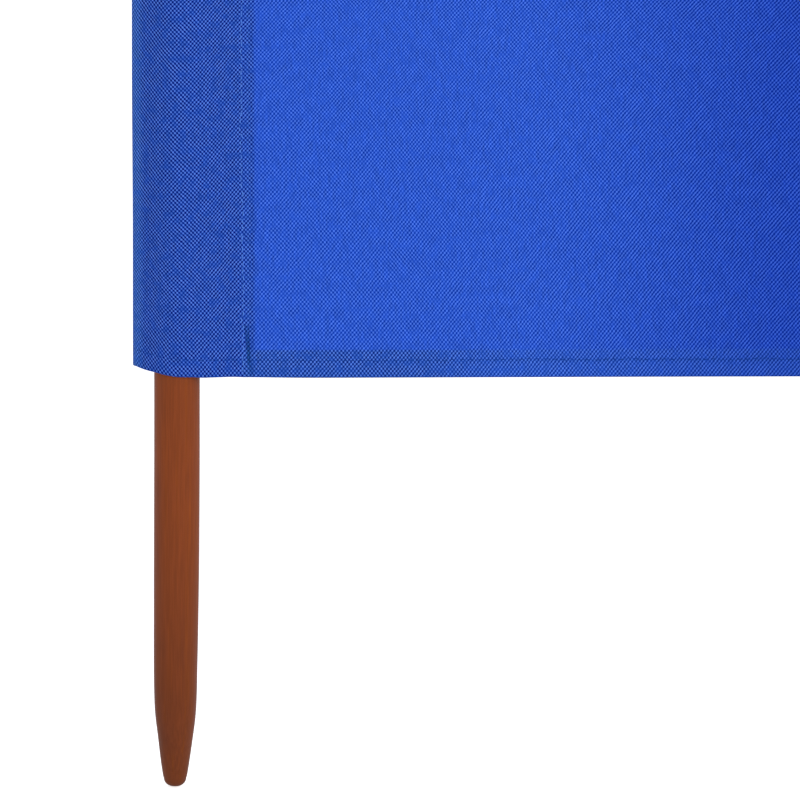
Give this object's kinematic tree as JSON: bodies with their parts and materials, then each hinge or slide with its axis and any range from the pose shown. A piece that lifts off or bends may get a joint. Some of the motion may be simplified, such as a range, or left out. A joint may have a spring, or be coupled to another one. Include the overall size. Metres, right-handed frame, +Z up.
{
  "type": "beach windbreak",
  "caption": "Low screen of hemmed nonwoven cloth bays with sewn sleeves, carried on pointed round wooden stakes pushed into sand.",
  "frame": {"origin": "centre of the flat tip of the middle stake, at the lowest point of the object", "axes": "+X along the row of bays, towards stake_5; -Y is the front, +Y the side the hems are folded to; +Z up the stakes"},
  "size_m": [4.0488, 0.028, 1.2],
  "materials": {
    "stained_wood": "satin red-brown stain",
    "cloth_single": "embossed nonwoven, one layer",
    "cloth_double": "embossed nonwoven, two or more layers"
  },
  "bodies": {
    "root": {"stake_1": "stained_wood", "stake_2": "stained_wood", "stake_3": "stained_wood", "stake_4": "stained_wood", "stake_5": "stained_wood", "sleeve_1": "cloth_double", "sleeve_2": "cloth_double", "sleeve_3": "cloth_double", "sleeve_4": "cloth_double", "sleeve_5": "cloth_double", "panel_1": "cloth_single", "panel_2": "cloth_single", "panel_3": "cloth_single", "panel_4": "cloth_single", "hem_bottom_1": "cloth_double", "hem_bottom_2": "cloth_double", "hem_bottom_3": "cloth_double", "hem_bottom_4": "cloth_double", "hem_top_1": "cloth_double", "hem_top_2": "cloth_double", "hem_top_3": "cloth_double", "hem_top_4": "cloth_double"}
  },
  "joints": []
}
